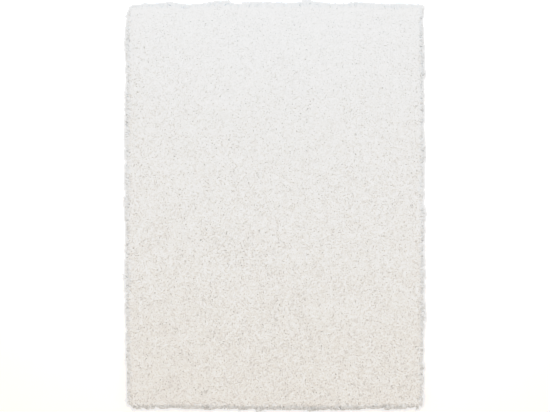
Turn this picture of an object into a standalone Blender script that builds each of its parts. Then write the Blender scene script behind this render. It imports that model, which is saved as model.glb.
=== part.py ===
"""Shag rug for a 160 x 220 cm floor space, lying flat.

The rug is one piece, yarn tufted through a ground cloth, so it is one solid. Its flat
underside is the ground cloth. The pile on it is a lumpy slab that rounds over at the rim,
where locks of yarn lean out past the cloth and come down to the floor.

Metres, +Z up. The origin is the middle of the underside, and +Y runs along the length.
"""

import math
import random

import bmesh
import bpy
from mathutils import Vector
from mathutils.geometry import delaunay_2d_cdt

# Ground cloth
CLOTH_WIDTH = 1.600
CLOTH_LENGTH = 2.200
# Corner radius of the cloth, anticlockwise from the far right corner
CORNER_RADII = {"far_right": 0.012, "far_left": 0.040, "near_left": 0.030, "near_right": 0.025}

# Pile
PILE_HEIGHT = 0.031
TUFT_PITCH = 0.051
TUFT_SCATTER = 0.011
TUFT_ROUGHNESS = 0.0022
CROWN_MARGIN = 0.024

# Lumps of the pile's top: waves that cross each other
LUMP_WAVES = (
    # bearing in degrees, wavelength, height, phase in degrees
    (12.0, 0.347, 0.0011, 40.0),
    (74.0, 0.291, 0.0012, 215.0),
    (131.0, 0.223, 0.0013, 100.0),
    (38.0, 0.181, 0.0013, 310.0),
    (103.0, 0.157, 0.0013, 20.0),
    (163.0, 0.139, 0.0012, 260.0),
    (57.0, 0.121, 0.0011, 150.0),
)

# The rim's section, from the floor up: how far out from the cloth's edge, and how high
RIM_SECTION = (
    # out, up
    (0.000, 0.000),
    (0.011, 0.007),
    (0.013, 0.016),
    (0.003, 0.026),
    (-0.016, PILE_HEIGHT),
)
RIM_UNEVENNESS = 0.0016
LOW_BAND = 1
HIGH_BAND = 2

# Each side bows out at its middle and draws in towards its corners
BOW_AT_MIDDLE = 0.003
BOW_AT_CORNER = -0.005

# Stretches of the rim where the yarn stands out further, or less far
RIM_SWELLS = (
    # side, place along the side, half width, how far out
    ("far", -0.558, 0.022, 0.009),
    ("far", -0.495, 0.040, -0.008),
    ("far", -0.303, 0.045, 0.011),
    ("far", -0.115, 0.018, 0.004),
    ("far", 0.185, 0.030, 0.013),
    ("far", 0.459, 0.032, 0.006),
    ("far", 0.655, 0.050, -0.007),
    ("near", -0.560, 0.130, -0.003),
    ("near", 0.335, 0.110, 0.003),
    ("right", 0.980, 0.060, -0.004),
    ("left", -0.960, 0.080, -0.003),
)
SIDES = {
    # outward direction, the axis that runs along the side, half the side's length
    "right": (Vector((1, 0)), 1, CLOTH_LENGTH / 2),
    "far": (Vector((0, 1)), 0, CLOTH_WIDTH / 2),
    "left": (Vector((-1, 0)), 1, CLOTH_LENGTH / 2),
    "near": (Vector((0, -1)), 0, CLOTH_WIDTH / 2),
}

# Locks at the rim: each grows from one face of the rim, and bends once
LOCKS_ACROSS = 63
LOCKS_ALONG = 87
LOCK_COUNT = 2 * (LOCKS_ACROSS + LOCKS_ALONG)
LOCK_SPACING_SCATTER = 0.22
LOCK_STRAY = 0.0045
LOCK_LEAN = 0.007
LOW_LOCK = (
    # out, lower side, upper side, share of the root's width, share of the stray and lean
    (0.0165, 0.0000, 0.0065, 0.74, 0.5),
    (0.0225, 0.0000, 0.0030, 0.36, 1.0),
)
HIGH_LOCK = (
    # the same columns
    (0.0155, 0.0125, 0.0195, 0.74, 0.5),
    (0.0200, 0.0090, 0.0125, 0.36, 1.0),
)

YARN_COLOUR = (0.80, 0.77, 0.71, 1.0)
YARN_ROUGHNESS = 0.9
SHARP_ANGLE = math.radians(60)
MERGE_DISTANCE = 1e-6
SEED = 21


def clear_scene():
    for obj in list(bpy.data.objects):
        bpy.data.objects.remove(obj)


def yarn_material():
    material = bpy.data.materials.new("heat_set_yarn")
    material.use_nodes = True
    shader = material.node_tree.nodes["Principled BSDF"]
    shader.inputs["Base Color"].default_value = YARN_COLOUR
    shader.inputs["Roughness"].default_value = YARN_ROUGHNESS
    shader.inputs["Metallic"].default_value = 0.0
    return material


def cloth_corners():
    """(middle of its arc, radius) of each corner, in the order of CORNER_RADII."""
    quadrants = ((1, 1), (-1, 1), (-1, -1), (1, -1))
    found = []
    for (across, along), radius in zip(quadrants, CORNER_RADII.values()):
        centre = Vector((across * (CLOTH_WIDTH / 2 - radius), along * (CLOTH_LENGTH / 2 - radius)))
        found.append((centre, radius))
    return found


def side_place(first, second, facing, share):
    """(point, outward) at a share of the way from one corner's middle to the next one's."""
    first_centre, first_radius = first
    second_centre, second_radius = second
    outward = Vector((math.cos(facing), math.sin(facing)))
    begin = first_centre + first_radius * outward
    end = second_centre + second_radius * outward
    first_arc = first_radius * math.pi / 4
    second_arc = second_radius * math.pi / 4
    straight = (end - begin).length
    distance = share * (first_arc + straight + second_arc)
    if distance < first_arc:
        centre, radius = first
        angle = facing - (first_arc - distance) / radius
    elif distance < first_arc + straight:
        return begin.lerp(end, (distance - first_arc) / straight), outward
    else:
        centre, radius = second
        angle = facing + (distance - first_arc - straight) / radius
    outward = Vector((math.cos(angle), math.sin(angle)))
    return centre + radius * outward, outward


def stations(scatter):
    """One (point, outward) for each lock, anticlockwise from the near right corner's middle."""
    corners = cloth_corners()
    found = []
    for turn, count in enumerate((LOCKS_ALONG, LOCKS_ACROSS, LOCKS_ALONG, LOCKS_ACROSS)):
        for number in range(count):
            loose = 1 < number < count - 1
            shift = LOCK_SPACING_SCATTER * scatter.uniform(-1, 1) if loose else 0.0
            share = (number + shift) / count
            found.append(side_place(corners[turn - 1], corners[turn], math.pi / 2 * turn, share))
    return found


def rim_reach(point, outward):
    """How much further out than its section the rim lies at a point of the cloth's edge."""
    reach = 0.0
    for side, (direction, axis, half) in SIDES.items():
        facing = max(0.0, outward.dot(direction)) ** 2
        along = point[axis]
        reach += facing * (BOW_AT_MIDDLE + (BOW_AT_CORNER - BOW_AT_MIDDLE) * (along / half) ** 2)
        for swell_side, place, half_width, out in RIM_SWELLS:
            if swell_side == side:
                reach += facing * out * math.exp(-(((along - place) / half_width) ** 2))
    return reach


def pile_top(x, y):
    """Height of the pile's top: its mean height and the waves of its lumps."""
    height = PILE_HEIGHT
    for bearing, wavelength, rise, phase in LUMP_WAVES:
        angle = math.radians(bearing)
        across = x * math.cos(angle) + y * math.sin(angle)
        height += rise * math.cos(2 * math.pi * across / wavelength + math.radians(phase))
    return height


def rim_rings(mesh, places, scatter):
    """The rings of points of the rim's section, from the floor up."""
    rings = []
    for level, (out, up) in enumerate(RIM_SECTION):
        ring = []
        for point, outward in places:
            share = min(1.0, level / LOW_BAND)
            offset = out + share * (rim_reach(point, outward) + scatter.uniform(-1, 1) * RIM_UNEVENNESS)
            height = up + (scatter.uniform(-1, 1) * RIM_UNEVENNESS if level else 0.0)
            spot = point + outward * offset
            if level == len(RIM_SECTION) - 1:
                height += pile_top(spot.x, spot.y) - PILE_HEIGHT
            ring.append(mesh.verts.new((spot.x, spot.y, height)))
        rings.append(ring)
    return rings


def lock(mesh, root, places, shape, scatter):
    """A lock of yarn on the face between four root points: a section half way, and a tip."""
    (first, first_out), (second, second_out) = places
    middle = (first + second) / 2
    outward = (first_out + second_out).normalized()
    sideways = Vector((-outward.y, outward.x))
    width = (second - first).length
    swell = rim_reach(middle, outward)
    stray = scatter.uniform(-1, 1) * LOCK_STRAY
    lean = scatter.uniform(-1, 1) * LOCK_LEAN

    sections = [root]
    for out, low, high, width_share, stray_share in shape:
        centre = middle + outward * (out + swell + stray * stray_share) + sideways * lean * stray_share
        half = sideways * width * width_share / 2
        corners = ((centre - half, low), (centre + half, low), (centre + half, high), (centre - half, high))
        sections.append([mesh.verts.new((spot.x, spot.y, height)) for spot, height in corners])

    for near, far in zip(sections, sections[1:]):
        for corner in range(4):
            after = (corner + 1) % 4
            mesh.faces.new((near[corner], near[after], far[after], far[corner]))
    mesh.faces.new(sections[-1])


def rim(mesh, rings, places, scatter):
    """The faces between the rings. Low and high locks take turns round the rim."""
    for band, (below, above) in enumerate(zip(rings, rings[1:])):
        for station in range(LOCK_COUNT):
            after = (station + 1) % LOCK_COUNT
            root = [below[station], below[after], above[after], above[station]]
            pair = (places[station], places[after])
            if band == LOW_BAND and station % 2 == 0:
                lock(mesh, root, pair, LOW_LOCK, scatter)
            elif band == HIGH_BAND and station % 2 == 1:
                lock(mesh, root, pair, HIGH_LOCK, scatter)
            else:
                mesh.faces.new(root)


def crown(mesh, edge, scatter):
    """The pile's lumpy top, on tuft points in staggered rows inside the rim's last ring."""
    half_x = CLOTH_WIDTH / 2 + RIM_SECTION[-1][0] - CROWN_MARGIN
    half_y = CLOTH_LENGTH / 2 + RIM_SECTION[-1][0] - CROWN_MARGIN
    row_pitch = TUFT_PITCH * math.sqrt(3) / 2
    rows = int(half_y / row_pitch)
    columns = int(half_x / TUFT_PITCH) + 1
    tufts = list(edge)
    for row in range(-rows, rows + 1):
        stagger = TUFT_PITCH / 2 * (row % 2)
        for column in range(-columns, columns + 1):
            x = column * TUFT_PITCH + stagger + scatter.uniform(-1, 1) * TUFT_SCATTER
            y = row * row_pitch + scatter.uniform(-1, 1) * TUFT_SCATTER
            roughness = scatter.uniform(-1, 1) * TUFT_ROUGHNESS
            if abs(x) < half_x and abs(y) < half_y:
                tufts.append(mesh.verts.new((x, y, pile_top(x, y) + roughness)))

    flat = [tuft.co.xy for tuft in tufts]
    border = [(number, (number + 1) % len(edge)) for number in range(len(edge))]
    inside_border = 1
    _, _, triangles, sources, _, _ = delaunay_2d_cdt(flat, border, [], inside_border, MERGE_DISTANCE)
    for triangle in triangles:
        corners = [tufts[sources[corner][0]] for corner in triangle]
        mesh.faces.new(corners)


def shag_rug():
    scatter = random.Random(SEED)
    mesh = bmesh.new()
    places = stations(scatter)
    rings = rim_rings(mesh, places, scatter)
    mesh.faces.new(reversed(rings[0]))
    rim(mesh, rings, places, scatter)
    crown(mesh, rings[-1], scatter)
    bmesh.ops.recalc_face_normals(mesh, faces=mesh.faces)

    data = bpy.data.meshes.new("shag_rug")
    mesh.to_mesh(data)
    mesh.free()
    data.shade_smooth()
    data.set_sharp_from_angle(angle=SHARP_ANGLE)
    data.materials.append(yarn_material())
    rug = bpy.data.objects.new("shag_rug", data)
    bpy.context.scene.collection.objects.link(rug)
    return rug


clear_scene()
shag_rug()
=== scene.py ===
import bpy
import numpy as np
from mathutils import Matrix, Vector


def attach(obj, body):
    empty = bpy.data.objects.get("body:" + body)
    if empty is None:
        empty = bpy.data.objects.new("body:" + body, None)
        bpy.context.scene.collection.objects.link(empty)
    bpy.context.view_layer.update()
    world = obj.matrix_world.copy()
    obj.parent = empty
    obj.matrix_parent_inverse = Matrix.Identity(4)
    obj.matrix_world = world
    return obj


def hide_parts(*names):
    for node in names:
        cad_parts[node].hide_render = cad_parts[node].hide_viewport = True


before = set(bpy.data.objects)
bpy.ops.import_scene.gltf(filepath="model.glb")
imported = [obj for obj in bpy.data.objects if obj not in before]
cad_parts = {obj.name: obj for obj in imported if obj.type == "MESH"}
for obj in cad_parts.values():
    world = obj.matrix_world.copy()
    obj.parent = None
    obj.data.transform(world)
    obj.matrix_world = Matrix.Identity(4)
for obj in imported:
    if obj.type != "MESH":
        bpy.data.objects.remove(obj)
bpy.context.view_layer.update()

cadNode = "shag_rug"

# The rug's plan, as in the CAD part, but that the whole far side is moved in, as in the photo. Corners run
# anticlockwise from the far right one.
rugPlan = {
    "width": 1.600,
    "length": 2.200,
    "cornerRadii": (0.012, 0.040, 0.030, 0.025),
    "pileHeight": 0.031,
    "bowMiddle": 0.003,      # how far out the rim lies at the middle of each side
    "bowCorner": -0.005,     # and at its ends
    "swells": (
        # side, place along it, half width, how far out
        ("far", -0.558, 0.022, 0.009),
        ("far", -0.495, 0.040, -0.008),
        ("far", -0.303, 0.045, 0.011),
        ("far", -0.115, 0.018, 0.004),
        ("far", 0.185, 0.030, 0.013),
        ("far", 0.459, 0.032, 0.006),
        ("far", 0.655, 0.050, -0.007),
        ("far", 0.000, 4.000, -0.0065),    # the whole far side, moved in
        ("near", -0.560, 0.130, -0.003),
        ("near", 0.335, 0.110, 0.003),
        ("right", 0.980, 0.060, -0.004),
        ("left", -0.960, 0.080, -0.003),
    ),
    "lumps": (
        # bearing in degrees, wavelength, height, phase in degrees
        (12.0, 0.347, 0.0011, 40.0),
        (74.0, 0.291, 0.0012, 215.0),
        (131.0, 0.223, 0.0013, 100.0),
        (38.0, 0.181, 0.0013, 310.0),
        (103.0, 0.157, 0.0013, 20.0),
        (163.0, 0.139, 0.0012, 260.0),
        (57.0, 0.121, 0.0011, 150.0),
    ),
    "lumpShare": 0.4,        # how much of the lumps shows in the tips, which even them out
}
halfSize = np.array([rugPlan["width"], rugPlan["length"]]) / 2
cornerRadii = np.array(rugPlan["cornerRadii"])
cornerSigns = np.array([[1, 1], [-1, 1], [-1, -1], [1, -1]])
sides = {"right": (1, 0), "far": (0, 1), "left": (-1, 0), "near": (0, -1)}


def pileTop(x, y):
    # Height of the pile's top: its mean height plus crossing waves, height * cos(distance across the wave).
    height = np.full(np.shape(x), rugPlan["pileHeight"])
    for bearing, wavelength, rise, phase in rugPlan["lumps"]:
        across = x * np.cos(np.radians(bearing)) + y * np.sin(np.radians(bearing))
        height += rugPlan["lumpShare"] * rise * np.cos(2 * np.pi * across / wavelength + np.radians(phase))
    return height


def radiusNear(x, y):
    # The corner radius of the quarter of the rug that each point is in.
    return np.where(y > 0, np.where(x > 0, *cornerRadii[[0, 1]]), np.where(x > 0, *cornerRadii[[3, 2]]))


def insideEdge(x, y, grown=0.0):
    # How far inside the plan, grown all round, each point lies, and the way out to the nearest edge. This is
    # the distance field of a rounded rectangle: radius - length of the overhang past the centre of the
    # corner's arc, plus the depth inside that centre.
    radius = radiusNear(x, y) + grown
    pastX = np.abs(x) - (halfSize[0] + grown - radius)
    pastY = np.abs(y) - (halfSize[1] + grown - radius)
    overhang = np.hypot(np.maximum(pastX, 0), np.maximum(pastY, 0))
    inside = radius - overhang - np.minimum(np.maximum(pastX, pastY), 0)
    corner = (pastX > 0) & (pastY > 0)
    outX = np.where(corner, pastX / np.maximum(overhang, 1e-9), pastX >= pastY) * np.sign(x)
    outY = np.where(corner, pastY / np.maximum(overhang, 1e-9), pastX < pastY) * np.sign(y)
    return inside, outX, outY


def rimReach(x, y, outX, outY):
    # How much further out the rim lies: a parabola along each side plus bell curves, out * exp(-(distance
    # from the swell's place / width)^2), each counted by how squarely the rim faces that side.
    reach = np.zeros(np.shape(x))
    for side, (sideX, sideY) in sides.items():
        facing = np.maximum(outX * sideX + outY * sideY, 0) ** 2
        along, half = (y, halfSize[1]) if sideX else (x, halfSize[0])
        bow = rugPlan["bowMiddle"] + (rugPlan["bowCorner"] - rugPlan["bowMiddle"]) * (along / half) ** 2
        for swellSide, place, width, out in rugPlan["swells"]:
            if swellSide == side:
                bow = bow + out * np.exp(-(((along - place) / width) ** 2))
        reach += facing * bow
    return reach


def edgePlaces(shares):
    # Points of the cloth's edge and the way out from it, at shares of the way round. Straight sides and
    # corner arcs take turns: a point is the arc's centre plus radius * (cos, sin) of the bearing, and on a
    # straight side it is moved back along the side.
    centres = cornerSigns * (halfSize - cornerRadii[:, None])
    bearings = np.radians(90) * np.arange(4)
    onward = np.stack([-np.sin(bearings), np.cos(bearings)], 1)
    straight = ((centres - np.roll(centres, 1, axis=0)) * onward).sum(1)
    lengths = np.stack([straight, cornerRadii * np.pi / 2], 1).ravel()
    ends = np.cumsum(lengths)
    distance = (shares % 1) * ends[-1]
    run = np.minimum(np.searchsorted(ends, distance, side="right"), len(ends) - 1)
    corner, onArc = run // 2, run % 2
    travel = distance - (ends[run] - lengths[run])
    bearing = bearings[corner] + onArc * travel / cornerRadii[corner]
    out = np.stack([np.cos(bearing), np.sin(bearing)], 1)
    back = (1 - onArc) * (straight[corner] - travel)
    return centres[corner] + cornerRadii[corner][:, None] * out - back[:, None] * onward[corner], out


def hexColour(code):
    # sRGB hex to linear: value / 12.92 in the dark, ((value + 0.055) / 1.055)^2.4 above.
    values = np.array([int(code[k:k + 2], 16) for k in (1, 3, 5)]) / 255
    linear = np.where(values <= 0.04045, values / 12.92, ((values + 0.055) / 1.055) ** 2.4)
    return (*(float(v) for v in linear), 1.0)


def addNode(tree, kind, settings=None, links=None):
    # One node. A setting names a socket, by name or number, or else a property. A link names a socket and its
    # source: a node, for its first output, or one of a node's outputs.
    node = tree.nodes.new(kind)
    for name, value in (settings or {}).items():
        if isinstance(name, int) or name in node.inputs:
            node.inputs[name].default_value = value
        else:
            setattr(node, name, value)
    for name, source in (links or {}).items():
        output = source.outputs[0] if isinstance(source, bpy.types.Node) else source
        tree.links.new(output, node.inputs[name])
    return node


def addRamp(tree, stops, source):
    # A colour ramp with a stop at each (place, hex colour).
    node = addNode(tree, "ShaderNodeValToRGB", links={0: source})
    ramp = node.color_ramp.elements
    while len(ramp) < len(stops):
        ramp.new(1.0)            # anywhere: its place is set below
    for element, (place, code) in zip(ramp, stops):
        element.position = place
        element.color = hexColour(code)
    return node


def newMaterial(name):
    material = bpy.data.materials.new(name)
    material.use_nodes = True
    tree = material.node_tree
    tree.nodes.clear()
    return material, tree


# Heat-set polypropylene yarn, three plies twisted together and set with steam: matt, with painted shade in the
# grooves between the plies and a faint halo of fibre ends. Its map holds one yarn a column, root at the bottom
# and tip at the top.
yarnLook = {
    "tones": ((0.0, "#F5F2EE"), (0.5, "#F7F5F2"), (1.0, "#F9F7F5")),
    "columns": 24,
    "length": 0.029,
    "girth": 0.015,              # round the yarn
    "plies": 3,
    "twistPitch": 0.009,         # one turn of the yarn
    "grooveShade": 0.98,
    "grooveEnd": 0.4,            # a wave from -1 to 1 runs across each ply: the groove's shade ends here
    "rootShade": 0.98,           # dust and shade low down in the pile
    "rootEnd": 0.45,             # the share of the yarn's length at which it has faded to the tip's
    "tipShade": 1.0,
    "fibreScale": 2600.0,        # wisps of about 0.4 mm: single fibres of 0.04 mm are too fine to draw
    "fibreDetail": 2.0,
    "fibreRange": (0.3, 0.6),    # values of the noise between which a wisp fades out
    "fibreShade": 0.97,
    "fibreRelief": 0.3,          # against 1 for the plies
    "ior": 1.49,
    "roughness": 0.86,
    "roughnessScatter": 0.06,
    "sheen": 0.25,
    "sheenRoughness": 0.5,
    "bump": 0.0002,
    "bumpStrength": 0.6,
}


# The same yarn at the rim, where it hangs down the side, as a shaded copy: its tones a little darker and
# cooler, and darker still towards the tip, which touches the floor, all painted shade.
rimYarnLook = {
    "tones": ((0.0, "#EEF0F1"), (0.5, "#F1F3F4"), (1.0, "#F4F6F7")),
    "rootShade": 0.98,
    "rootEnd": 1.00,
    "tipShade": 0.93,
}


def yarnMaterial(name, own):
    # Plies: sin(2 pi * plies * (share of the way round + turns * share of the way along)). Fibres: noise.
    look = {**yarnLook, **own}
    material, tree = newMaterial(name)
    place = addNode(tree, "ShaderNodeUVMap", {"uv_map": "OFBake"})
    split = addNode(tree, "ShaderNodeSeparateXYZ", links={0: place})
    along = split.outputs[1]
    spread = addNode(tree, "ShaderNodeMath", {"operation": "MULTIPLY", 1: look["columns"]}, {0: split})
    column = addNode(tree, "ShaderNodeMath", {"operation": "FLOOR"}, {0: spread})
    around = addNode(tree, "ShaderNodeMath", {"operation": "FRACT"}, {0: spread})
    pick = addNode(tree, "ShaderNodeTexWhiteNoise", {"noise_dimensions": "1D"}, {"W": column})
    tone = addRamp(tree, look["tones"], pick.outputs["Value"])

    turns = look["length"] / look["twistPitch"]
    twist = addNode(tree, "ShaderNodeMath", {"operation": "MULTIPLY", 1: turns * look["plies"]}, {0: along})
    wind = addNode(tree, "ShaderNodeMath",
                   {"operation": "MULTIPLY_ADD", 1: float(look["plies"])}, {0: around, 2: twist})
    angle = addNode(tree, "ShaderNodeMath", {"operation": "MULTIPLY", 1: 2 * np.pi}, {0: wind})
    wave = addNode(tree, "ShaderNodeMath", {"operation": "SINE"}, {0: angle})
    # painted shade in the grooves between the plies
    ply = addNode(tree, "ShaderNodeMapRange",
                  {1: -1.0, 2: look["grooveEnd"], 3: look["grooveShade"], 4: 1.0}, {0: wave})

    fibrePlace = addNode(tree, "ShaderNodeCombineXYZ", links={0: spread, 1: along})
    fibreSize = addNode(tree, "ShaderNodeVectorMath",
                        {"operation": "MULTIPLY", 1: (look["girth"], look["length"], 1)}, {0: fibrePlace})
    fibre = addNode(tree, "ShaderNodeTexNoise",
                    {"Scale": look["fibreScale"], "Detail": look["fibreDetail"]}, {"Vector": fibreSize})
    wispStart, wispEnd = look["fibreRange"]
    wisp = addNode(tree, "ShaderNodeMapRange",
                   {1: wispStart, 2: wispEnd, 3: look["fibreShade"], 4: 1.0}, {0: fibre})

    depth = addNode(tree, "ShaderNodeMapRange",
                    {1: 0.0, 2: look["rootEnd"], 3: look["rootShade"], 4: look["tipShade"]}, {0: along})
    shade = addNode(tree, "ShaderNodeMath", {"operation": "MULTIPLY"}, {0: ply, 1: wisp})
    shadeAll = addNode(tree, "ShaderNodeMath", {"operation": "MULTIPLY"}, {0: shade, 1: depth})
    colour = addNode(tree, "ShaderNodeVectorMath", {"operation": "SCALE"}, {0: tone, "Scale": shadeAll})
    relief = addNode(tree, "ShaderNodeMath",
                     {"operation": "MULTIPLY_ADD", 1: look["fibreRelief"]}, {0: fibre, 2: wave})
    bump = addNode(tree, "ShaderNodeBump",
                   {"Strength": look["bumpStrength"], "Distance": look["bump"]}, {"Height": relief})
    smooth = look["roughness"] - look["roughnessScatter"]
    coarse = look["roughness"] + look["roughnessScatter"]
    rough = addNode(tree, "ShaderNodeMapRange", {3: smooth, 4: coarse}, {0: fibre})
    surface = addNode(tree, "ShaderNodeBsdfPrincipled",
                      {"IOR": look["ior"], "Sheen Weight": look["sheen"],
                       "Sheen Roughness": look["sheenRoughness"]},
                      {"Base Color": colour, "Roughness": rough, "Normal": bump})
    addNode(tree, "ShaderNodeOutputMaterial", links={0: surface})
    return material


# The deep pile: the same yarn, seen down between the top yarns. It is laid in tufts, each with its own
# bearing, with painted shade in soft gaps between the yarns and in small pits all over.
bedLook = {
    "tones": ((0.0, "#F0EDE8"), (0.5, "#F3F1ED"), (1.0, "#F5F3F0")),
    "tuftSize": 0.028,
    "yarnSize": (0.024, 0.0052, 0.0052),
    "gapRange": (0.4, 0.75),     # distances from a yarn's middle, in yarns, between which the gap darkens
    "gapShade": 0.92,
    "pitSize": 0.0058,
    "pitRange": (0.5, 0.7),      # the same, for a pit
    "pitShade": 0.48,
    "ior": 1.49,
    "roughness": 0.92,
    "bump": 0.003,
    "bumpStrength": 0.7,
}


def bedMaterial():
    # Three cell patterns: tufts, the yarns in them, turned by the tuft's own bearing and stretched, and pits.
    look = bedLook
    material, tree = newMaterial("packedPolypropyleneYarn")
    place = addNode(tree, "ShaderNodeTexCoord").outputs["Object"]
    tufts = addNode(tree, "ShaderNodeTexVoronoi", {"Scale": 1 / look["tuftSize"]}, {"Vector": place})
    draw = addNode(tree, "ShaderNodeSeparateXYZ", links={0: tufts.outputs["Color"]})
    bearing = addNode(tree, "ShaderNodeMath", {"operation": "MULTIPLY", 1: 2 * np.pi}, {0: draw})
    turned = addNode(tree, "ShaderNodeVectorRotate",
                     {"rotation_type": "Z_AXIS"}, {"Vector": place, "Angle": bearing})
    strandPlace = addNode(tree, "ShaderNodeVectorMath",
                          {"operation": "DIVIDE", 1: look["yarnSize"]}, {0: turned})
    strands = addNode(tree, "ShaderNodeTexVoronoi", {"Scale": 1.0}, {"Vector": strandPlace})
    tint = addNode(tree, "ShaderNodeSeparateXYZ", links={0: strands.outputs["Color"]})
    tone = addRamp(tree, look["tones"], tint.outputs[0])
    pits = addNode(tree, "ShaderNodeTexVoronoi", {"Scale": 1 / look["pitSize"]}, {"Vector": place})

    gapStart, gapEnd = look["gapRange"]
    pitStart, pitEnd = look["pitRange"]
    # painted shade in the gaps between the yarns and in the pits
    gap = addNode(tree, "ShaderNodeMapRange",
                  {1: gapStart, 2: gapEnd, 3: 1.0, 4: look["gapShade"]}, {0: strands.outputs["Distance"]})
    pit = addNode(tree, "ShaderNodeMapRange",
                  {1: pitStart, 2: pitEnd, 3: 1.0, 4: look["pitShade"]}, {0: pits.outputs["Distance"]})
    shade = addNode(tree, "ShaderNodeMath", {"operation": "MULTIPLY"}, {0: gap, 1: pit})
    colour = addNode(tree, "ShaderNodeVectorMath", {"operation": "SCALE"}, {0: tone, "Scale": shade})
    relief = addNode(tree, "ShaderNodeMath",
                     {"operation": "MULTIPLY_ADD", 1: -1.0, 2: 1.0}, {0: strands.outputs["Distance"]})
    bump = addNode(tree, "ShaderNodeBump",
                   {"Strength": look["bumpStrength"], "Distance": look["bump"]}, {"Height": relief})
    surface = addNode(tree, "ShaderNodeBsdfPrincipled",
                      {"IOR": look["ior"], "Roughness": look["roughness"]},
                      {"Base Color": colour, "Normal": bump})
    addNode(tree, "ShaderNodeOutputMaterial", links={0: surface})
    return material


# Ground cloth of jute and polyester, plain woven and sized with latex: over-and-under threads, a ridge for
# each row of pile, and a dull straw colour.
clothLook = {
    "threads": ((0.0, "#B7A583"), (1.0, "#D6C8A8")),
    "threadPitch": 0.0028,
    "rowPitch": 0.0095,
    "slubPitch": 0.0070,
    "slubDetail": 4.0,
    "weaveShare": 0.2,           # how much the weave tells in the tone, against 1 for the slubs
    "roughness": 0.88,
    "bump": 0.0008,
    "bumpStrength": 0.9,
}


def clothMaterial():
    # Relief: sin across the threads * sin along them + sin across the rows. Tone: a share of that + noise.
    look = clothLook
    material, tree = newMaterial("wovenJuteGroundCloth")
    place = addNode(tree, "ShaderNodeTexCoord").outputs["Object"]
    split = addNode(tree, "ShaderNodeSeparateXYZ", links={0: place})
    waves = []
    for axis, pitch in ((0, look["threadPitch"]), (1, look["threadPitch"]), (1, look["rowPitch"])):
        angle = addNode(tree, "ShaderNodeMath",
                        {"operation": "MULTIPLY", 1: 2 * np.pi / pitch}, {0: split.outputs[axis]})
        waves.append(addNode(tree, "ShaderNodeMath", {"operation": "SINE"}, {0: angle}))
    weave = addNode(tree, "ShaderNodeMath", {"operation": "MULTIPLY"}, {0: waves[0], 1: waves[1]})
    relief = addNode(tree, "ShaderNodeMath", {"operation": "ADD"}, {0: weave, 1: waves[2]})
    slubs = addNode(tree, "ShaderNodeTexNoise",
                    {"Scale": 1 / look["slubPitch"], "Detail": look["slubDetail"]}, {"Vector": place})
    share = addNode(tree, "ShaderNodeMath",
                    {"operation": "MULTIPLY_ADD", 1: look["weaveShare"]}, {0: relief, 2: slubs})
    tone = addRamp(tree, look["threads"], share.outputs[0])
    bump = addNode(tree, "ShaderNodeBump",
                   {"Strength": look["bumpStrength"], "Distance": look["bump"]}, {"Height": relief})
    surface = addNode(tree, "ShaderNodeBsdfPrincipled",
                      {"Roughness": look["roughness"]}, {"Base Color": tone, "Normal": bump})
    addNode(tree, "ShaderNodeOutputMaterial", links={0: surface})
    return material


def addPiece(name, points, faceSets, material):
    # One mesh from whole arrays. faceSets holds pairs: faces with the same number of corners, and their
    # places on the map. The piece rides on the rug's one body.
    corners = np.concatenate([faces.ravel() for faces, places in faceSets])
    sizes = np.concatenate([np.full(len(faces), faces.shape[1]) for faces, places in faceSets])
    places = np.concatenate([places.reshape(-1, 2) for faces, places in faceSets])
    mesh = bpy.data.meshes.new(name)
    mesh.vertices.add(len(points))
    mesh.vertices.foreach_set("co", np.ascontiguousarray(points, np.float32).ravel())
    mesh.loops.add(len(corners))
    mesh.loops.foreach_set("vertex_index", corners.astype(np.int32))
    mesh.polygons.add(len(sizes))
    mesh.polygons.foreach_set("loop_start", (np.cumsum(sizes) - sizes).astype(np.int32))
    bakeMap = mesh.uv_layers.new(name="OFBake")
    bakeMap.uv.foreach_set("vector", np.ascontiguousarray(places, np.float32).ravel())
    mesh.update(calc_edges=True)
    mesh.shade_smooth()
    mesh.materials.append(material)
    piece = bpy.data.objects.new(name, mesh)
    bpy.context.scene.collection.objects.link(piece)
    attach(piece, "root")
    print(name, "has", int((sizes - 2).sum()), "triangles")
    return piece


def placesAcross(half, pitch, finePitch, fineReach):
    # Places from -half to half, finePitch apart near both ends and about pitch apart between them.
    fromEnd = np.arange(0, fineReach, finePitch)
    inner = np.linspace(fineReach, half, max(2, round((half - fineReach) / pitch)))
    upper = half - np.concatenate([fromEnd, inner])
    return np.concatenate([-upper, upper[-2::-1]])


# Where a slab lies on its map: the side that shows is large, the other one small, and the wall is a strip.
slabMap = {
    "span": 2.32,                # metres of the rug across the whole map, for the large side
    "largeMiddle": (0.36, 0.50),
    "smallShare": 0.36,
    "smallMiddle": (0.86, 0.20),
    "wallCorner": (0.74, 0.45),
    "wallSize": (0.24, 0.10),
}


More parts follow.
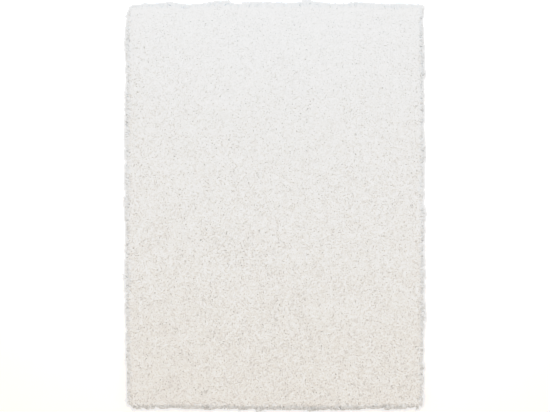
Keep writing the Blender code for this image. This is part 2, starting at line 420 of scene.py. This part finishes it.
def closedSlab(plan, topOf, seenFromBelow):
    # A slab on the rug's plan, grown all round. Each row y holds points x = share * half width of the plan
    # at y, so the rows' ends draw the rounded corners. The top is a grid and the underside is a ladder of
    # long faces. topOf(x, y) moves the top's points.
    grown = plan["grown"]
    spacing = plan["pitch"], plan["finePitch"], plan["fineReach"]
    shares = placesAcross(halfSize[0], *spacing) / halfSize[0]
    share, y = np.meshgrid(shares, placesAcross(halfSize[1] + grown, *spacing))
    radius = radiusNear(share, y) + grown
    past = np.maximum(np.abs(y) - (halfSize[1] + grown - radius), 0)
    x = share * (halfSize[0] + grown - radius + np.sqrt(np.maximum(radius**2 - past**2, 0)))
    rows, columns = x.shape
    number = np.arange(rows * columns).reshape(rows, columns)
    ring = np.concatenate([number[0, :-1], number[:-1, -1], number[-1, :0:-1], number[:0:-1, 0]])
    low = rows * columns + np.arange(len(ring))
    top = np.stack(topOf(x, y), -1).reshape(-1, 3)
    points = np.concatenate([top, top[ring] * (1, 1, 0) + (0, 0, plan["foot"])])

    grid = np.stack([number[:-1, :-1], number[:-1, 1:], number[1:, 1:], number[1:, :-1]], -1).reshape(-1, 4)
    wall = np.stack([low, np.roll(low, -1), np.roll(ring, -1), ring], 1)
    right = low[columns - 1:columns - 1 + rows]
    left = np.concatenate([low[:1], low[:-rows:-1]])
    ladder = np.stack([left[1:-2], left[2:-1], right[2:-1], right[1:-2]], 1)
    nearEnd = np.append(low[:columns + 1], left[1])[None, ::-1]
    farEnd = low[columns + rows - 3:2 * columns + rows - 1][None, ::-1]

    flat = points[:, :2] / slabMap["span"]
    large = flat * (-1 if seenFromBelow else 1, 1) + slabMap["largeMiddle"]
    small = flat * slabMap["smallShare"] + slabMap["smallMiddle"]
    above, below = (small, large) if seenFromBelow else (large, small)
    wallPlace = np.zeros((len(wall), 4, 2))
    wallPlace[..., 0] = (np.arange(len(wall))[:, None] + (0, 1, 1, 0)) / len(wall)
    wallPlace[..., 1] = (0, 0, 1, 1)
    wallPlace = wallPlace * slabMap["wallSize"] + slabMap["wallCorner"]
    return points, [(grid, above[grid]), (wall, wallPlace), (ladder, below[ladder]),
                    (nearEnd, below[nearEnd]), (farEnd, below[farEnd])]


# Ground cloth: it lies flat on the floor under the pile.
groundCloth = {
    "grown": 0.0,
    "pitch": 0.040,
    "finePitch": 0.008,
    "fineReach": 0.040,
    "foot": 0.0,
    "thickness": 0.0026,
}


def makeGroundCloth(material):
    points, faceSets = closedSlab(
        groundCloth, lambda x, y: (x, y, np.full(x.shape, groundCloth["thickness"])), seenFromBelow=True)
    return addPiece("groundCloth", points, faceSets, material)


# Deep pile bed: it lies under the top yarns, so that no floor shows between them, and rounds over at the rim.
pileBed = {
    "grown": 0.009,
    "pitch": 0.0105,
    "finePitch": 0.0050,
    "fineReach": 0.036,
    "foot": 0.0029,           # its underside, just above the ground cloth
    "lip": 0.003,             # height of its rim above that
    "below": 0.0062,          # how far its top lies under the tips
    "roll": 0.026,            # how far in from the rim it rounds over
    "roughness": 0.0014,      # of its top
    "reachFade": 0.040,       # how far in from the rim its bows and swells fade out
    "seed": 5,
}


def bedTop(x, y):
    # Height: from the lip up to the pile's top less a depth, over a quarter ellipse,
    # sqrt(1 - (1 - inside / roll)^2), plus a rough scatter. The rim's points also move out by the rim's reach,
    # which fades inwards as exp(-(inside / fade)^2).
    bed = pileBed
    inside, outX, outY = insideEdge(x, y, bed["grown"])
    reach = rimReach(x, y, outX, outY) * np.exp(-((inside / bed["reachFade"]) ** 2))
    x, y = x + outX * reach, y + outY * reach
    lip = bed["foot"] + bed["lip"]
    share = np.clip(inside / bed["roll"], 0, 1)
    rough = np.random.default_rng(bed["seed"]).normal(0, bed["roughness"], x.shape)
    return x, y, lip + (pileTop(x, y) - bed["below"] - lip) * np.sqrt(1 - (1 - share) ** 2) + rough * share


def makePileBed(material):
    points, faceSets = closedSlab(pileBed, bedTop, seenFromBelow=False)
    return addPiece("pileBed", points, faceSets, material)


# How a yarn is drawn: three corners round it, and its place in its column of the map.
yarnShape = {
    "corners": 3,
    "turnColumns": 7,            # the corners turn by a full turn in this many columns of the map
    "capStart": 0.98,            # the sides reach this far up the column, and the tip's cap takes the rest
    "capAcross": (0.2, 0.8, 0.5),    # of the column's width
}


def tubes(path, radius, column):
    # Yarns along paths. The root is a point; at each further point of the path stand three corners, at
    # radius * (cos, sin) of a third of a turn each, in the plane across the path. The tip is closed with
    # one face. Each yarn takes one column of the yarn's map, root at the bottom.
    corners, capStart = yarnShape["corners"], yarnShape["capStart"]
    count, rings = path.shape[0], path.shape[1] - 1
    along = np.gradient(path, axis=1)[:, 1:]
    along /= np.linalg.norm(along, axis=2, keepdims=True)
    heading = path[:, -1] - path[:, 0]
    level = np.stack([-heading[:, 1], heading[:, 0], np.zeros(count)], 1)[:, None]
    over = np.cross(along, np.broadcast_to(level, along.shape))
    over /= np.linalg.norm(over, axis=2, keepdims=True)
    across = np.cross(over, along)
    share = np.arange(corners) / corners + column[:, None] / yarnShape["turnColumns"]
    turn = (2 * np.pi * share)[:, None, :, None]
    outward = np.cos(turn) * across[:, :, None] + np.sin(turn) * over[:, :, None]
    skin = path[:, 1:, None] + radius[..., None, None] * outward

    root = np.arange(count)[:, None]
    number = count + np.arange(count * rings * corners).reshape(count, rings, corners)
    after = np.roll(number, -1, axis=2)
    fans = np.stack([np.repeat(root, corners, axis=1), after[:, 0], number[:, 0]], -1)
    walls = np.stack([number[:, :-1], after[:, :-1], after[:, 1:], number[:, 1:]], -1)

    first = (column % yarnLook["columns"])[:, None, None, None]
    ring, side = np.meshgrid(np.arange(rings), np.arange(corners), indexing="ij")
    u = (first + (side[..., None] + (0, 1, 1, 0)) / corners) / yarnLook["columns"]
    v = np.broadcast_to(capStart * (ring[..., None] + (0, 0, 1, 1)) / rings, u.shape)
    places = np.stack([u, v], -1)
    fanPlaces = places[:, 0][:, :, [0, 2, 3]]
    capU = (first[:, 0, 0] + yarnShape["capAcross"]) / yarnLook["columns"]
    capPlaces = np.stack([capU, np.tile((capStart, capStart, 1.0), (count, 1))], -1)
    return np.concatenate([path[:, 0], skin.reshape(-1, 3)]), [
        (fans.reshape(-1, 3), fanPlaces.reshape(-1, 3, 2)),
        (walls.reshape(-1, 4), places[:, 1:].reshape(-1, 4, 2)),
        (number[:, -1], capPlaces)]


# Top yarns: the ends of the pile, bent over and lying across each other. Angles are in degrees.
topYarn = {
    "pitch": 0.0070,             # mean distance between yarns
    "spread": 1.3247179572,      # g, where g^3 = g + 1: steps of 1/g in x and 1/g^2 in y fill the rug evenly
    "straggle": 0.0015,          # how far a yarn stands from its even place
    "rimMargin": -0.0040,        # how far inside the cloth's edge they stop: below 0 is past it
    "length": 0.029,
    "lengthScatter": 0.0040,
    "radius": 0.0026,
    "radiusScatter": 0.0003,
    "pathPoints": 3,             # root, middle and tip
    "taper": (1.0, 0.75),        # share of the radius at the middle and the tip
    "rootLean": (60, 80),        # from upright
    "tipLean": (80, 100),
    "curl": 50,
    "lay": 180,                  # how far a yarn's bearing strays from the pile's lie: 180 is any way
    "layWaves": 6,
    "layLength": (0.06, 0.16),
    "rimPull": 2.5,              # how much the edge turns the pile's lie outwards
    "rimPullWidth": 0.05,
    "rimDroop": 30,              # how much further down the tips hang at the edge
    "rimDroopWidth": 0.02,
    "rimOut": 0.018,             # the top rounds over from this far outside the cloth's edge
    "rimRoll": 0.036,            # and is level from this far inside there
    "rimDrop": 0.018,
    "tipHeight": -0.0012,
    "tipScatter": 0.0003,
    "lowest": 0.005,             # no yarn passes through the ground cloth
    "seed": 11,
}


def topYarnPlaces(rng):
    # Where the yarns stand, the fractions of n / g and n / g^2 spread over the rug, and how far inside the
    # edge each is and its way out. The rim's reach, which fades inwards, moves them out.
    look = topYarn
    reachX, reachY = halfSize - look["rimMargin"]
    total = round(4 * reachX * reachY / look["pitch"] ** 2)
    spread = np.arange(total)[:, None] / look["spread"] ** np.arange(1, 3) % 1
    x = (2 * spread[:, 0] - 1) * reachX + rng.uniform(-1, 1, total) * look["straggle"]
    y = (2 * spread[:, 1] - 1) * reachY + rng.uniform(-1, 1, total) * look["straggle"]
    inside, outX, outY = insideEdge(x, y)
    keep = inside > look["rimMargin"]
    x, y, inside, outX, outY = x[keep], y[keep], inside[keep], outX[keep], outY[keep]
    reach = rimReach(x, y, outX, outY) * np.exp(-((inside / pileBed["reachFade"]) ** 2))
    return x + outX * reach, y + outY * reach, inside, outX, outY


def pileLie(x, y, rng):
    # The way the pile lies: a vector whose two parts are sums of cosine waves of random bearings.
    parts = []
    for _ in range(2):
        bearing = rng.uniform(0, 2 * np.pi, topYarn["layWaves"])
        length = rng.uniform(*topYarn["layLength"], topYarn["layWaves"])
        phase = rng.uniform(0, 2 * np.pi, topYarn["layWaves"])
        across = np.multiply.outer(x, np.cos(bearing)) + np.multiply.outer(y, np.sin(bearing))
        parts.append(np.cos(2 * np.pi * across / length + phase).sum(-1))
    return parts


def topYarnPaths(rng, x, y, inside, outX, outY):
    # Each path's lean and bearing turn evenly from root to tip; its steps are length / steps * (sin lean *
    # cos bearing, sin lean * sin bearing, cos lean). It is then set so that its highest point is at the
    # pile's top, less drop * (1 - sqrt(1 - (1 - inwards)^2)) where the pile rounds over at the rim.
    look = topYarn
    count, stepCount = len(x), look["pathPoints"] - 1
    part = (np.arange(stepCount) + 0.5) / stepCount
    lieX, lieY = pileLie(x, y, rng)
    pull = look["rimPull"] * np.exp(-((inside / look["rimPullWidth"]) ** 2))
    lie = np.arctan2(lieY + pull * outY, lieX + pull * outX)
    middle = lie + np.radians(rng.uniform(-1, 1, count) * look["lay"])
    rootLean = np.radians(rng.uniform(*look["rootLean"], count))[:, None]
    tipLean = np.radians(rng.uniform(*look["tipLean"], count))[:, None]
    tipLean += np.radians(look["rimDroop"]) * np.exp(-((inside / look["rimDroopWidth"]) ** 2))[:, None]
    lean = rootLean + (tipLean - rootLean) * part
    bearing = middle[:, None] + np.radians(rng.normal(0, look["curl"], count))[:, None] * (part - 0.5)
    length = (look["length"] + rng.uniform(-1, 1, count) * look["lengthScatter"])[:, None]
    heading = np.stack([np.sin(lean) * np.cos(bearing), np.sin(lean) * np.sin(bearing), np.cos(lean)], -1)
    steps = heading * (length / stepCount)[..., None]
    path = np.concatenate([np.zeros((count, 1, 3)), np.cumsum(steps, axis=1)], axis=1)
    path[..., 0] += x[:, None] - path[:, -1:, 0] / 2
    path[..., 1] += y[:, None] - path[:, -1:, 1] / 2
    radius = (look["radius"] + rng.uniform(-1, 1, count) * look["radiusScatter"])[:, None] * look["taper"]

    tipX, tipY = path[:, -1, 0], path[:, -1, 1]
    tipTop = pileTop(tipX, tipY) + look["tipHeight"] + rng.normal(0, look["tipScatter"], count)
    inwards = np.clip((insideEdge(tipX, tipY)[0] + look["rimOut"]) / look["rimRoll"], 0, 1)
    tipTop -= look["rimDrop"] * (1 - np.sqrt(1 - (1 - inwards) ** 2))
    path[..., 2] += (tipTop - path[..., 2].max(1) - radius[:, 0])[:, None]
    path[..., 2] = np.maximum(path[..., 2], look["lowest"])
    return path, radius


def makeTopYarns(material):
    # Four pieces, one for each quarter of the rug.
    rng = np.random.default_rng(topYarn["seed"])
    x, y, *rim = topYarnPlaces(rng)
    path, radius = topYarnPaths(rng, x, y, *rim)
    column = rng.integers(0, yarnLook["columns"], len(path))
    pieces = []
    for name, quarter in (
            ("topYarnFarRight", (x >= 0) & (y >= 0)), ("topYarnFarLeft", (x < 0) & (y >= 0)),
            ("topYarnNearLeft", (x < 0) & (y < 0)), ("topYarnNearRight", (x >= 0) & (y < 0))):
        points, faceSets = tubes(path[quarter], radius[quarter], column[quarter])
        pieces.append(addPiece(name, points, faceSets, material))
    return pieces


# Rim yarns: rows of yarn round the edge that arch out past the cloth and come down to the floor, in locks.
rimYarn = {
    "perRow": 1650,
    "rows": (
        # root, crest and tip, each as out from the cloth's edge and up from the floor
        ((-0.022, 0.018), (-0.002, 0.028), (0.0100, 0.0200)),
        ((-0.013, 0.015), (0.006, 0.026), (0.0160, 0.0155)),
        ((-0.006, 0.012), (0.011, 0.021), (0.0213, 0.0105)),
        ((0.000, 0.008), (0.014, 0.014), (0.0236, 0.0060)),
        ((0.002, 0.004), (0.015, 0.0075), (0.0242, 0.0025)),
    ),
    "pathPoints": 4,
    "straggle": 0.4,             # how far a yarn stands from its even place, in the row's spacings
    "lock": 0.016,               # width of a lock
    "lockShift": 0.37,           # of each row's locks against the last row's, in locks
    "lockStray": 0.0045,         # how far out or in a lock's tips reach
    "lockLean": 0.009,           # and how far to the side
    "stray": 0.0014,             # the same for each yarn of it
    "lean": 0.014,
    "rootStray": 0.004,
    "lift": 0.0018,              # how far up or down its crest and tip stray
    "radius": 0.0026,
    "radiusScatter": 0.0003,
    "taper": (1.0, 0.95, 0.80),  # share of the radius at each point after the root
    "floorGap": 0.0001,          # the lowest yarns lie this far above the floor
    "seed": 23,
}


def makeRimYarns(material):
    # Each yarn is a quadratic Bezier from root to crest to tip: (1-s)^2 root + 2s(1-s) crest + s^2 tip, set
    # out from the cloth's edge by the rim's reach and by its lock's own stray.
    look = rimYarn
    count, rowCount = look["perRow"], len(look["rows"])
    rng = np.random.default_rng(look["seed"])
    lockCount = round(2 * (rugPlan["width"] + rugPlan["length"]) / look["lock"])
    lockStray = rng.normal(0, look["lockStray"], lockCount)
    lockLean = rng.normal(0, look["lockLean"], lockCount)
    s = np.linspace(0, 1, look["pathPoints"])[:, None]
    weights = (1 - s) ** 2, 2 * s * (1 - s), s**2
    paths = []
    for row, bends in enumerate(look["rows"]):
        straggle = rng.uniform(-look["straggle"], look["straggle"], count)
        shares = (np.arange(count) + row / rowCount + straggle) / count
        edge, out = edgePlaces(shares)
        onward = np.stack([-out[:, 1], out[:, 0]], 1)
        lock = np.floor((shares + look["lockShift"] * row / lockCount) * lockCount).astype(int) % lockCount
        reach = rimReach(edge[:, 0], edge[:, 1], out[:, 0], out[:, 1])
        stray = lockStray[lock] + rng.normal(0, look["stray"], count)
        lean = lockLean[lock] + rng.normal(0, look["lean"], count)
        lift = rng.normal(0, look["lift"], count)
        rootStray = rng.normal(0, look["rootStray"], count)
        path = np.zeros((count, look["pathPoints"], 3))
        # Root, crest and tip take none, half and all of the stray. The lift is for the crest and the tip.
        for far, lifted, weight, (away, up) in zip((0, 0.5, 1), (0, 1, 1), weights, bends):
            outward = out * (away + reach + far * stray + (1 - far) * rootStray)[:, None]
            flat = edge + outward + onward * (far * lean)[:, None]
            height = up + lifted * lift
            path += weight[None] * np.concatenate([flat, height[:, None]], 1)[:, None]
        paths.append(path)
    path = np.concatenate(paths)
    radius = (look["radius"] + rng.uniform(-1, 1, len(path)) * look["radiusScatter"])[:, None] * look["taper"]
    path[:, 1:, 2] = np.maximum(path[:, 1:, 2], radius + look["floorGap"])
    points, faceSets = tubes(path, radius, rng.integers(0, yarnLook["columns"], len(path)))
    return addPiece("rimYarn", points, faceSets, material)


yarn = yarnMaterial("heatSetPolypropyleneYarn", {})
# a copy of the yarn with painted shade, for the rim
hangingYarn = yarnMaterial("paintedShadeRimYarn", rimYarnLook)
print("materials made")
cloth = makeGroundCloth(clothMaterial())
bed = makePileBed(bedMaterial())
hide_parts(cadNode)
pile = [bed, *makeTopYarns(yarn), makeRimYarns(hangingYarn)]
print("rug made")


# Studio: a pale floor lit to white, under a dome of even warm light with a dark flag low at the near end,
# so that the near rim falls into shade. A cool softbox hangs over the far half, a strip light hangs low
# beyond the far edge, and two weak lights stand low beside the long edges. The camera doesn't see the
# lights. The tone curve, in linear light, rolls off as the photo does, so that white yarn stays just under
# the floor's white.
studio = {
    "floorSize": 40.0,
    "floorColour": "#E0E0E0",
    "floorRoughness": 0.9,
    "floorGlow": 0.60,
    "domeStops": ((0.09, "#303030"), (0.20, "#FFF3E6"), (1.00, "#D8CFC5")),
    "domeStrength": 1.492,
    "softboxAt": (0.1, 1.25, 3.2),
    "softboxAim": (0.0, 0.8, 0.0),
    "softboxSize": (2.8, 1.2),
    "softboxPower": 43.0,
    "softboxColour": "#B4DEFF",
    "stripAt": (0.0, 1.40, 0.62),
    "stripAim": (0.0, 1.12, 0.0),
    "stripSize": (2.3, 0.25),
    "stripPower": 4.0,
    "stripColour": "#D8ECFF",
    "leftEdgeAt": (-1.70, 0.0, 0.40),
    "leftEdgeAim": (-0.82, 0.0, 0.0),
    "leftEdgeSize": (0.2, 2.2),
    "leftEdgePower": 2.0,
    "leftEdgeColour": "#F0F4FF",
    "rightEdgeAt": (1.70, 0.0, 0.40),
    "rightEdgeAim": (0.82, 0.0, 0.0),
    "rightEdgeSize": (0.2, 2.2),
    "rightEdgePower": 2.2,
    "rightEdgeColour": "#F0F4FF",
    "whiteLevel": 1.3,
    "toneCurve": (
        # light, as shown
        (0.70, 0.70), (0.78, 0.77), (0.86, 0.82), (0.95, 0.852), (1.05, 0.875), (1.20, 0.90)),
}


def addLight(name):
    # A rectangular area light. Its settings are the ones in studio that begin with its name.
    lamp = bpy.data.lights.new(name, "AREA")
    lamp.shape = "RECTANGLE"
    lamp.size, lamp.size_y = studio[name + "Size"]
    lamp.energy = studio[name + "Power"]
    lamp.color = hexColour(studio[name + "Colour"])[:3]
    light = bpy.data.objects.new(name, lamp)
    bpy.context.scene.collection.objects.link(light)
    light.location = studio[name + "At"]
    away = Vector(studio[name + "Aim"]) - light.location
    light.rotation_euler = away.to_track_quat("-Z", "Y").to_euler()
    light.visible_camera = False


def makeStudio():
    half = studio["floorSize"] / 2
    mesh = bpy.data.meshes.new("floor")
    corners = [(-half, -half, 0), (half, -half, 0), (half, half, 0), (-half, half, 0)]
    mesh.from_pydata(corners, [], [(0, 1, 2, 3)])
    material, tree = newMaterial("paintedStudioFloor")
    colour = hexColour(studio["floorColour"])
    surface = addNode(tree, "ShaderNodeBsdfPrincipled", {
        "Base Color": colour, "Roughness": studio["floorRoughness"],
        "Emission Color": colour, "Emission Strength": studio["floorGlow"]})
    addNode(tree, "ShaderNodeOutputMaterial", links={0: surface})
    mesh.materials.append(material)
    floor = bpy.data.objects.new("floor", mesh)
    bpy.context.scene.collection.objects.link(floor)
    for name in ("softbox", "strip", "leftEdge", "rightEdge"):
        addLight(name)
    makeDome()
    makeToneCurve()


def makeDome():
    # Its colour goes with (1 + y) / 2 of the direction, from 0 at the near horizon to 1 at the far one.
    world = bpy.data.worlds.new("dome")
    world.use_nodes = True
    tree = world.node_tree
    tree.nodes.clear()
    place = addNode(tree, "ShaderNodeTexCoord").outputs["Generated"]
    split = addNode(tree, "ShaderNodeSeparateXYZ", links={0: place})
    share = addNode(tree, "ShaderNodeMath",
                    {"operation": "MULTIPLY_ADD", 1: 0.5, 2: 0.5}, {0: split.outputs[1]})
    colour = addRamp(tree, studio["domeStops"], share.outputs[0])
    light = addNode(tree, "ShaderNodeBackground", {1: studio["domeStrength"]}, {0: colour})
    addNode(tree, "ShaderNodeOutputWorld", links={0: light})
    bpy.context.scene.world = world


def makeToneCurve():
    view = bpy.context.scene.view_settings
    view.view_transform = "Standard"
    view.use_curve_mapping = True
    curves = view.curve_mapping
    curves.white_level = [studio["whiteLevel"]] * 3
    for light, shown in studio["toneCurve"]:
        curves.curves[3].points.new(light / studio["whiteLevel"], shown)
    curves.update()


# Camera: straight above, as in the photo.
cameraPlan = {
    "frameWidth": 3.039,         # metres across the frame, at the subject's height
    "subjectHeight": 0.012,
    "lens": 85.0,                # mm
    "sensor": 36.0,              # mm
    "middle": (0.0007, -0.0007),     # the point of the floor under the camera
}


def makeCamera():
    data = bpy.data.cameras.new("camera")
    data.lens = cameraPlan["lens"]
    data.sensor_width = cameraPlan["sensor"]
    camera = bpy.data.objects.new("camera", data)
    bpy.context.scene.collection.objects.link(camera)
    distance = cameraPlan["frameWidth"] * cameraPlan["lens"] / cameraPlan["sensor"]
    camera.location = (*cameraPlan["middle"], distance + cameraPlan["subjectHeight"])
    bpy.context.scene.camera = camera


makeStudio()
makeCamera()
print("studio and camera made")
